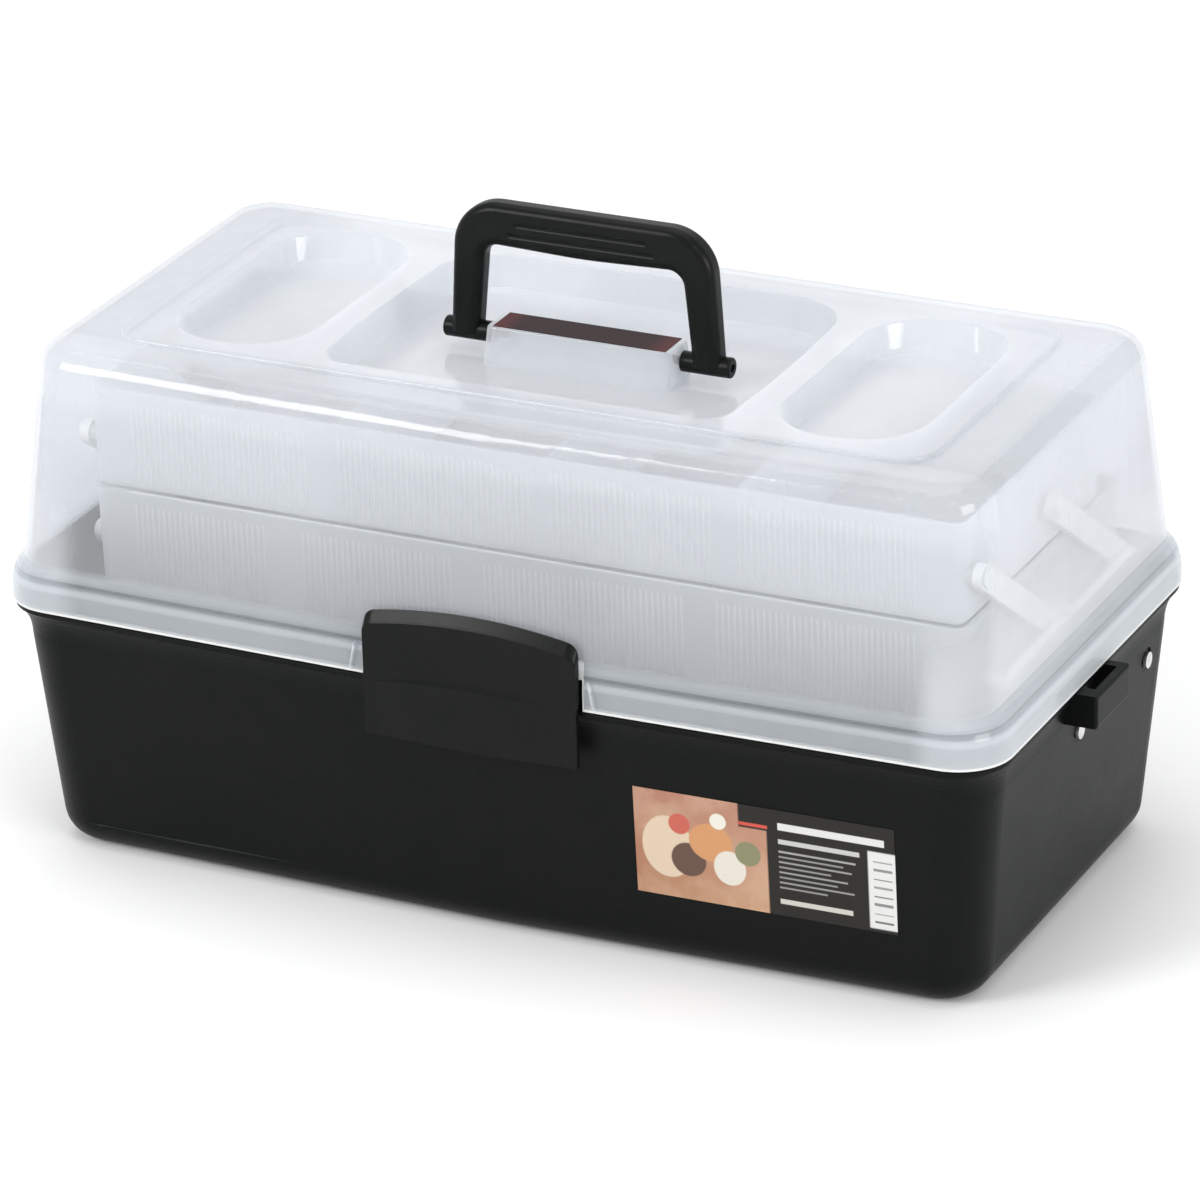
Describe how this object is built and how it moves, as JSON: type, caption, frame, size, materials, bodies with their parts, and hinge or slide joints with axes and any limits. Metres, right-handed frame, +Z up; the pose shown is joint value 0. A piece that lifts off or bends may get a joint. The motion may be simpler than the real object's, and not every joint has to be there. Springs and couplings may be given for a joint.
{
  "type": "toolbox",
  "caption": "Lidded carrying toolbox: black tub, see-through lid with folding handle and recesses, front latch and compartment trays that rise on parallel arms",
  "frame": {"origin": "on the floor under the middle of the closed box's bounding box", "axes": "+X to the box's right along its length, -Y to the front where the latch is, +Z up"},
  "size_m": [0.52, 0.2742, 0.3101],
  "materials": {
    "black_plastic": "fine grained black polypropylene",
    "clear_lid_plastic": "milky see-through polypropylene, smooth",
    "tray_plastic": "whitish see-through polypropylene with fine upright ribs",
    "white_plastic": "white moulded plastic",
    "rivet_metal": "bright rivet",
    "pin_steel": "plain bright steel",
    "label_print": null,
    "label_dark": "dark red glossy strip, blank"
  },
  "bodies": {
    "base": {"base_tub": "black_plastic", "front_label": "label_print", "strap_lug_right": "black_plastic", "tub_knuckles_right": "black_plastic", "arm_bracket_right": "black_plastic", "bracket_rivets_right": "rivet_metal", "bracket_pins_right": "pin_steel", "hinge_pin_right": "pin_steel", "strap_lug_left": "black_plastic", "tub_knuckles_left": "black_plastic", "arm_bracket_left": "black_plastic", "bracket_rivets_left": "rivet_metal", "bracket_pins_left": "pin_steel", "hinge_pin_left": "pin_steel"},
    "lid": {"lid_shell": "clear_lid_plastic", "boss_label": "label_dark", "latch_rod": "pin_steel", "handle_pin_right": "black_plastic", "handle_pin_left": "black_plastic"},
    "latch": {"latch": "black_plastic"},
    "handle": {"handle": "black_plastic"},
    "lower_arm_rear": {"lower_arm_rear_right": "white_plastic", "lower_arm_rear_left": "white_plastic"},
    "lower_arm_front": {"lower_arm_front_right": "white_plastic", "lower_arm_front_left": "white_plastic"},
    "lower_tray": {"lower_tray": "tray_plastic", "lower_divider_1": "tray_plastic", "lower_divider_2": "tray_plastic", "lower_divider_3": "tray_plastic", "lower_tray_pins_right": "pin_steel", "upper_arm_pins_right": "pin_steel", "lower_tray_pins_left": "pin_steel", "upper_arm_pins_left": "pin_steel"},
    "upper_arm_rear": {"upper_arm_rear_right": "white_plastic", "upper_arm_rear_left": "white_plastic"},
    "upper_arm_front": {"upper_arm_front_right": "white_plastic", "upper_arm_front_left": "white_plastic"},
    "upper_tray": {"upper_tray": "tray_plastic", "upper_divider_1": "tray_plastic", "upper_divider_2": "tray_plastic", "upper_divider_3": "tray_plastic", "upper_tray_pins_right": "pin_steel", "upper_tray_pins_left": "pin_steel"}
  },
  "joints": [
    {"name": "lid_hinge", "type": "hinge", "parent": "base", "child": "lid", "pos_m": [0, 0.1321, 0.1215], "axis": [-1, 0, 0], "range_deg": [0, 105]},
    {"name": "latch_swing", "type": "hinge", "parent": "lid", "child": "latch", "pos_m": [0, -0.1311, 0.1535], "axis": [-1, 0, 0], "range_deg": [0, 14]},
    {"name": "handle_fold", "type": "hinge", "parent": "lid", "child": "handle", "pos_m": [0, -0.0024, 0.245], "axis": [-1, 0, 0], "range_deg": [0, 90]},
    {"name": "lower_arm_rear_turn", "type": "hinge", "parent": "base", "child": "lower_arm_rear", "pos_m": [0, 0.0911, 0.1385], "axis": [-1, 0, 0], "range_deg": [0, 69]},
    {"name": "lower_arm_front_turn", "type": "hinge", "parent": "base", "child": "lower_arm_front", "pos_m": [0, 0.0071, 0.1385], "axis": [-1, 0, 0], "range_deg": [0, 69]},
    {"name": "lower_tray_level", "type": "hinge", "parent": "lower_arm_rear", "child": "lower_tray", "pos_m": [0, 0.0301, 0.137], "axis": [-1, 0, 0], "range_deg": [-69, 0]},
    {"name": "upper_arm_rear_turn", "type": "hinge", "parent": "lower_tray", "child": "upper_arm_rear", "pos_m": [0, 0.1011, 0.1336], "axis": [-1, 0, 0], "range_deg": [0, 43]},
    {"name": "upper_arm_front_turn", "type": "hinge", "parent": "lower_tray", "child": "upper_arm_front", "pos_m": [0, 0.0171, 0.1336], "axis": [-1, 0, 0], "range_deg": [0, 43]},
    {"name": "upper_tray_level", "type": "hinge", "parent": "upper_arm_rear", "child": "upper_tray", "pos_m": [0, 0.0101, 0.196], "axis": [-1, 0, 0], "range_deg": [-43, 0]}
  ],
  "couplings": [
    {"joint": "lower_arm_rear_turn", "follows": "lid_hinge", "ratio": 0.65},
    {"joint": "lower_arm_front_turn", "follows": "lid_hinge", "ratio": 0.65},
    {"joint": "lower_tray_level", "follows": "lid_hinge", "ratio": -0.65},
    {"joint": "upper_arm_rear_turn", "follows": "lid_hinge", "ratio": 0.4},
    {"joint": "upper_arm_front_turn", "follows": "lid_hinge", "ratio": 0.4},
    {"joint": "upper_tray_level", "follows": "lid_hinge", "ratio": -0.4}
  ]
}
